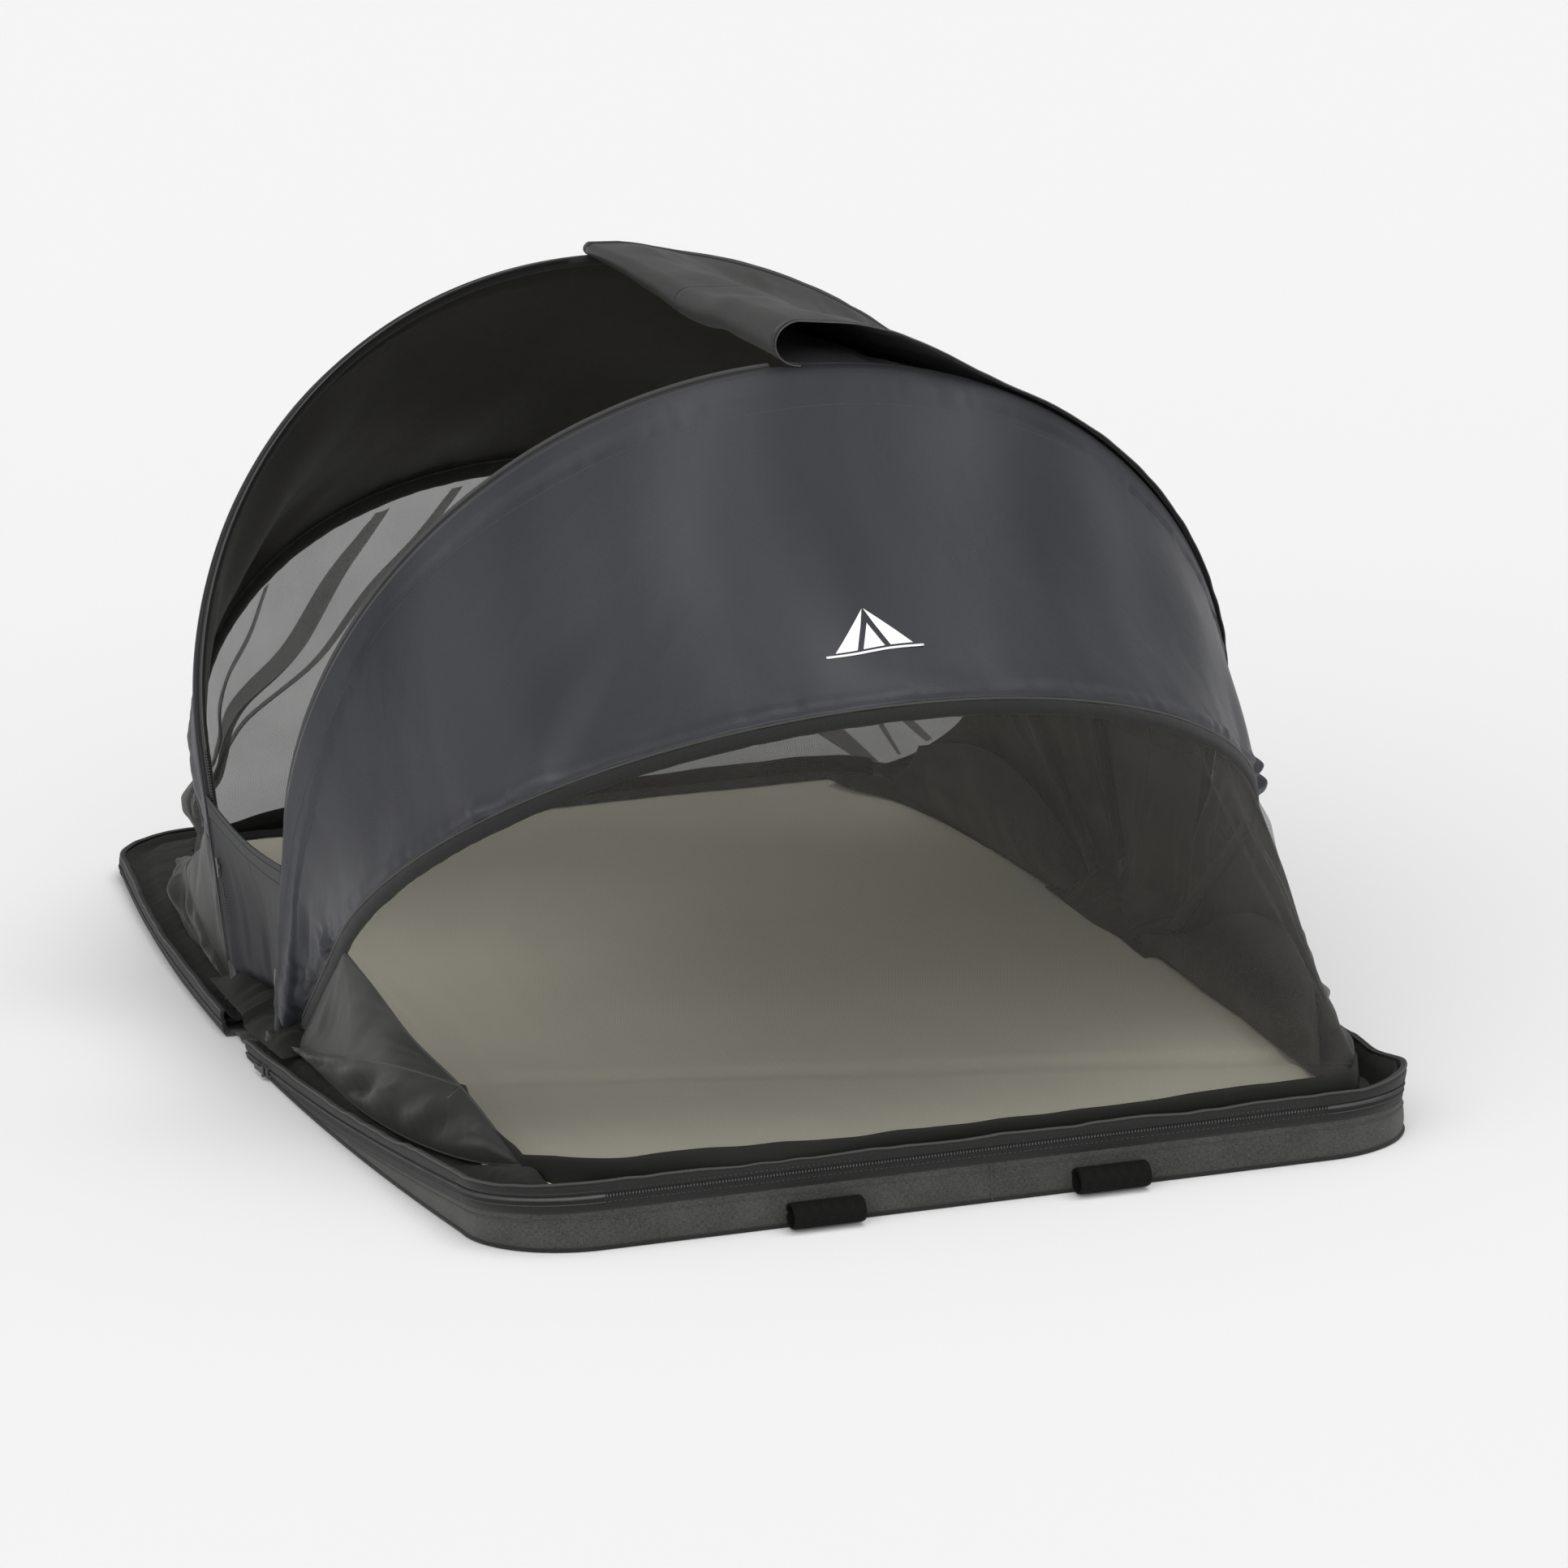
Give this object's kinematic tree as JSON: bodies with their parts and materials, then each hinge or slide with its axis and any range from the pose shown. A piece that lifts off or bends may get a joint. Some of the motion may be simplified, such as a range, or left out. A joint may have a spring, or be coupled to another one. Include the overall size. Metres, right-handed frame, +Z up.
{
  "type": "pop-up child sleeping tent",
  "caption": "Pop-up sleeping tent on spring hoops, with netting windows and an open side door, that folds flat into its own zipped case.",
  "frame": {"origin": "on the ground, midway along the fold between tray and lid", "axes": "+X right, +Y from the tray towards the lid, +Z up"},
  "size_m": [0.7362, 1.2373, 0.5277],
  "materials": {
    "melange_fabric": "matt melange weave",
    "board": "matt",
    "black_binding": "matt tape",
    "zip_coil": "semi-matt nylon",
    "mattress_fabric": "soft matt weave",
    "webbing": "herringbone webbing",
    "moulded_plastic": "fine texture",
    "coated_metal": "black coating",
    "netting": "fine see-through netting",
    "fibreglass": "smooth",
    "tent_fabric": "satin nylon"
  },
  "bodies": {
    "tray": {"tray_base": "melange_fabric", "tray_board": "board", "tray_piping": "black_binding", "tray_wall": "melange_fabric", "tray_zip_tape": "black_binding", "tray_zip_coil": "zip_coil", "tray_rim": "black_binding", "mattress_front": "mattress_fabric", "webbing_loop_left": "webbing", "webbing_loop_right": "webbing", "front_brackets": "moulded_plastic", "front_pins": "coated_metal", "front_mesh": "netting", "front_side_left": "tent_fabric", "front_side_right": "tent_fabric", "spine": "melange_fabric"},
    "lid": {"lid_base": "melange_fabric", "lid_board": "board", "lid_wall": "black_binding", "lid_zip_coil": "zip_coil", "mattress_rear": "mattress_fabric", "rear_brackets": "moulded_plastic", "rear_pins": "coated_metal", "rear_mesh": "netting", "rear_side_left": "tent_fabric", "rear_side_right": "tent_fabric"},
    "front_window_hoop": {"front_window_rod": "fibreglass", "front_window_ferrules": "moulded_plastic", "front_window_sleeve": "black_binding", "front_visor": "tent_fabric"},
    "front_hoop": {"front_hoop_rod": "fibreglass", "front_hoop_ferrules": "moulded_plastic", "front_hoop_sleeve": "tent_fabric", "front_door_coil": "zip_coil", "door_panel_front": "tent_fabric", "door_flap_front": "tent_fabric", "gusset_front_left": "tent_fabric", "gusset_front_right": "tent_fabric"},
    "rear_window_hoop": {"rear_window_rod": "fibreglass", "rear_window_ferrules": "moulded_plastic", "rear_window_sleeve": "black_binding", "rear_visor": "tent_fabric"},
    "rear_hoop": {"rear_hoop_rod": "fibreglass", "rear_hoop_ferrules": "moulded_plastic", "rear_hoop_sleeve": "tent_fabric", "rear_door_coil": "zip_coil", "door_panel_rear": "tent_fabric", "door_flap_rear": "tent_fabric", "gusset_rear_left": "tent_fabric", "gusset_rear_right": "tent_fabric"},
    "case_slider_left": {"case_slider_left": "coated_metal"},
    "case_pull_left": {"case_pull_left": "coated_metal"},
    "case_slider_right": {"case_slider_right": "coated_metal"},
    "case_pull_right": {"case_pull_right": "coated_metal"},
    "door_slider_front": {"door_slider_front": "coated_metal"},
    "door_pull_front": {"door_pull_front": "coated_metal"},
    "door_slider_rear": {"door_slider_rear": "coated_metal"},
    "door_pull_rear": {"door_pull_rear": "coated_metal"}
  },
  "joints": [
    {"name": "case_fold", "type": "hinge", "parent": "tray", "child": "lid", "pos_m": [0, 0, 0.032], "axis": [1, 0, 0], "range_deg": [0, 180], "deforming": ["spine", "door_panel_front", "door_panel_rear", "door_flap_front", "door_flap_rear", "gusset_front_left", "gusset_front_right", "gusset_rear_left", "gusset_rear_right"]},
    {"name": "front_window_fold", "type": "hinge", "parent": "tray", "child": "front_window_hoop", "pos_m": [0, -0.066, 0.021], "axis": [1, 0, 0], "range_deg": [0, 34.4], "deforming": ["front_mesh", "front_side_left", "front_side_right"]},
    {"name": "front_hoop_fold", "type": "hinge", "parent": "front_window_hoop", "child": "front_hoop", "pos_m": [0, -0.066, 0.021], "axis": [1, 0, 0], "range_deg": [0, 33], "deforming": ["front_visor"]},
    {"name": "rear_window_fold", "type": "hinge", "parent": "lid", "child": "rear_window_hoop", "pos_m": [0, 0.066, 0.021], "axis": [-1, 0, 0], "range_deg": [0, 34.4], "deforming": ["rear_mesh", "rear_side_left", "rear_side_right"]},
    {"name": "rear_hoop_fold", "type": "hinge", "parent": "rear_window_hoop", "child": "rear_hoop", "pos_m": [0, 0.066, 0.021], "axis": [-1, 0, 0], "range_deg": [0, 33], "deforming": ["rear_visor"]},
    {"name": "case_slider_right_slide", "type": "slide", "parent": "tray", "child": "case_slider_right", "axis": [-0.0214, -0.9988, 0.044], "range_m": [-0.045, 0.08]},
    {"name": "case_pull_right_turn", "type": "hinge", "parent": "case_slider_right", "child": "case_pull_right", "pos_m": [0.36687, -0.09609, 0.0065], "axis": [-0.0009, -0.0439, -0.999], "range_deg": [0, 180]},
    {"name": "case_slider_left_slide", "type": "slide", "parent": "tray", "child": "case_slider_left", "axis": [0.0214, -0.9988, 0.044], "range_m": [-0.045, 0.08]},
    {"name": "case_pull_left_turn", "type": "hinge", "parent": "case_slider_left", "child": "case_pull_left", "pos_m": [-0.36687, -0.09609, 0.0065], "axis": [-0.0009, 0.0439, 0.999], "range_deg": [0, 180]},
    {"name": "door_slider_front_slide", "type": "slide", "parent": "front_hoop", "child": "door_slider_front", "axis": [0, -0.3843, 0.9232], "range_m": [-0.008, 0.1]},
    {"name": "door_pull_front_turn", "type": "hinge", "parent": "door_slider_front", "child": "door_pull_front", "pos_m": [-0.347, -0.07832, 0.0722], "axis": [1, 0, 0], "range_deg": [0, 180]},
    {"name": "door_slider_rear_slide", "type": "slide", "parent": "rear_hoop", "child": "door_slider_rear", "axis": [0, 0.3843, 0.9232], "range_m": [-0.05, 0.06]},
    {"name": "door_pull_rear_turn", "type": "hinge", "parent": "door_slider_rear", "child": "door_pull_rear", "pos_m": [-0.347, 0.09523, 0.11282], "axis": [-1, 0, 0], "range_deg": [0, 180]}
  ],
  "couplings": [
    {"joint": "front_window_fold", "follows": "case_fold", "ratio": 0.19111},
    {"joint": "front_hoop_fold", "follows": "case_fold", "ratio": 0.18333},
    {"joint": "rear_window_fold", "follows": "case_fold", "ratio": 0.19111},
    {"joint": "rear_hoop_fold", "follows": "case_fold", "ratio": 0.18333}
  ]
}
